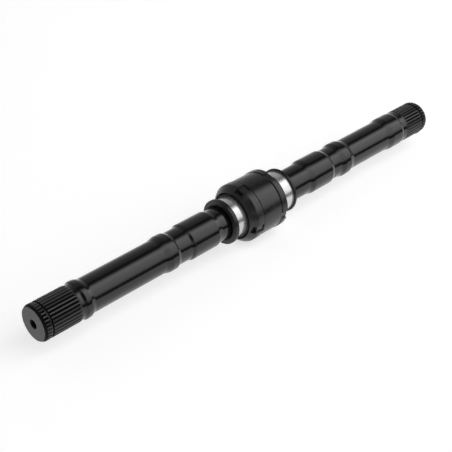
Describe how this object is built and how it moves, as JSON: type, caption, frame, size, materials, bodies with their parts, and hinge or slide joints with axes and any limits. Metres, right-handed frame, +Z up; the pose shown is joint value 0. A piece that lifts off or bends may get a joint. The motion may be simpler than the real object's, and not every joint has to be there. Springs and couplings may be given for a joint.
{
  "type": "cv axle",
  "caption": "Straight splined drive axle with a compact double constant-velocity ball joint in its middle, ground journals and screwed end caps",
  "frame": {"origin": "the middle of the joint sleeve, on the axle's line, which is also the middle of the axle", "axes": "+X runs along the axle from the near splined end to the far splined end; +Z is up; the joints are straight at rest"},
  "size_m": [0.5228, 0.0598, 0.0598],
  "materials": {
    "black_shaft": "glossy black finish on turned and splined alloy steel",
    "black_housing": "satin black on the turned sleeve and caps",
    "ground_steel": "bright ground journal; the flange beside it is satin black",
    "cage_steel": "grey machined and hardened steel",
    "bearing_steel": "polished bearing steel",
    "spring_steel": "oiled black spring steel",
    "seal_rubber": "matte black nitrile rubber"
  },
  "bodies": {
    "housing": {"joint_sleeve": "black_housing", "near_end_cap": "black_housing", "far_end_cap": "black_housing", "near_cap_o_ring": "seal_rubber", "far_cap_o_ring": "seal_rubber", "centre_spacer": "cage_steel"},
    "near_top_ball": {"near_ball_1": "bearing_steel"},
    "near_cage": {"near_cage": "cage_steel", "near_ball_2": "bearing_steel", "near_ball_3": "bearing_steel", "near_ball_5": "bearing_steel", "near_ball_6": "bearing_steel"},
    "near_bottom_ball": {"near_ball_4": "bearing_steel"},
    "near_hub": {"near_hub": "ground_steel", "near_v_ring_seal": "seal_rubber", "near_shaft_wiper": "seal_rubber"},
    "near_shaft": {"near_shaft": "black_shaft", "near_stub_circlip": "spring_steel", "near_snap_ring": "spring_steel"},
    "far_top_ball": {"far_ball_1": "bearing_steel"},
    "far_cage": {"far_cage": "cage_steel", "far_ball_2": "bearing_steel", "far_ball_3": "bearing_steel", "far_ball_5": "bearing_steel", "far_ball_6": "bearing_steel"},
    "far_bottom_ball": {"far_ball_4": "bearing_steel"},
    "far_hub": {"far_hub": "ground_steel", "far_v_ring_seal": "seal_rubber", "far_shaft_wiper": "seal_rubber"},
    "far_shaft": {"far_shaft": "black_shaft", "far_stub_circlip": "spring_steel", "far_snap_ring": "spring_steel"}
  },
  "joints": [
    {"name": "near_bend_up", "type": "hinge", "parent": "housing", "child": "near_top_ball", "pos_m": [-0.0165, 0, 0], "axis": [0, 1, 0], "range_deg": [-1.5, 1.5]},
    {"name": "near_bend_side", "type": "hinge", "parent": "near_top_ball", "child": "near_cage", "pos_m": [-0.0165, 0, 0], "axis": [0, 0, 1], "range_deg": [-1.5, 1.5]},
    {"name": "near_bend_side_second_half", "type": "hinge", "parent": "near_cage", "child": "near_bottom_ball", "pos_m": [-0.0165, 0, 0], "axis": [0, 0, 1], "range_deg": [-1.5, 1.5]},
    {"name": "near_bend_up_second_half", "type": "hinge", "parent": "near_bottom_ball", "child": "near_hub", "pos_m": [-0.0165, 0, 0], "axis": [0, 1, 0], "range_deg": [-1.5, 1.5]},
    {"name": "near_plunge", "type": "slide", "parent": "near_hub", "child": "near_shaft", "axis": [-1, 0, 0], "range_m": [-0.004, 0.001]},
    {"name": "far_bend_up", "type": "hinge", "parent": "housing", "child": "far_top_ball", "pos_m": [0.015, 0, 0], "axis": [0, 1, 0], "range_deg": [-1.5, 1.5]},
    {"name": "far_bend_side", "type": "hinge", "parent": "far_top_ball", "child": "far_cage", "pos_m": [0.015, 0, 0], "axis": [0, 0, 1], "range_deg": [-1.5, 1.5]},
    {"name": "far_bend_side_second_half", "type": "hinge", "parent": "far_cage", "child": "far_bottom_ball", "pos_m": [0.015, 0, 0], "axis": [0, 0, 1], "range_deg": [-1.5, 1.5]},
    {"name": "far_bend_up_second_half", "type": "hinge", "parent": "far_bottom_ball", "child": "far_hub", "pos_m": [0.015, 0, 0], "axis": [0, 1, 0], "range_deg": [-1.5, 1.5]},
    {"name": "far_plunge", "type": "slide", "parent": "far_hub", "child": "far_shaft", "axis": [1, 0, 0], "range_m": [-0.004, 0.001]}
  ],
  "couplings": [
    {"joint": "near_bend_side_second_half", "follows": "near_bend_side", "ratio": 1},
    {"joint": "near_bend_up_second_half", "follows": "near_bend_up", "ratio": 1},
    {"joint": "far_bend_side_second_half", "follows": "far_bend_side", "ratio": 1},
    {"joint": "far_bend_up_second_half", "follows": "far_bend_up", "ratio": 1}
  ]
}
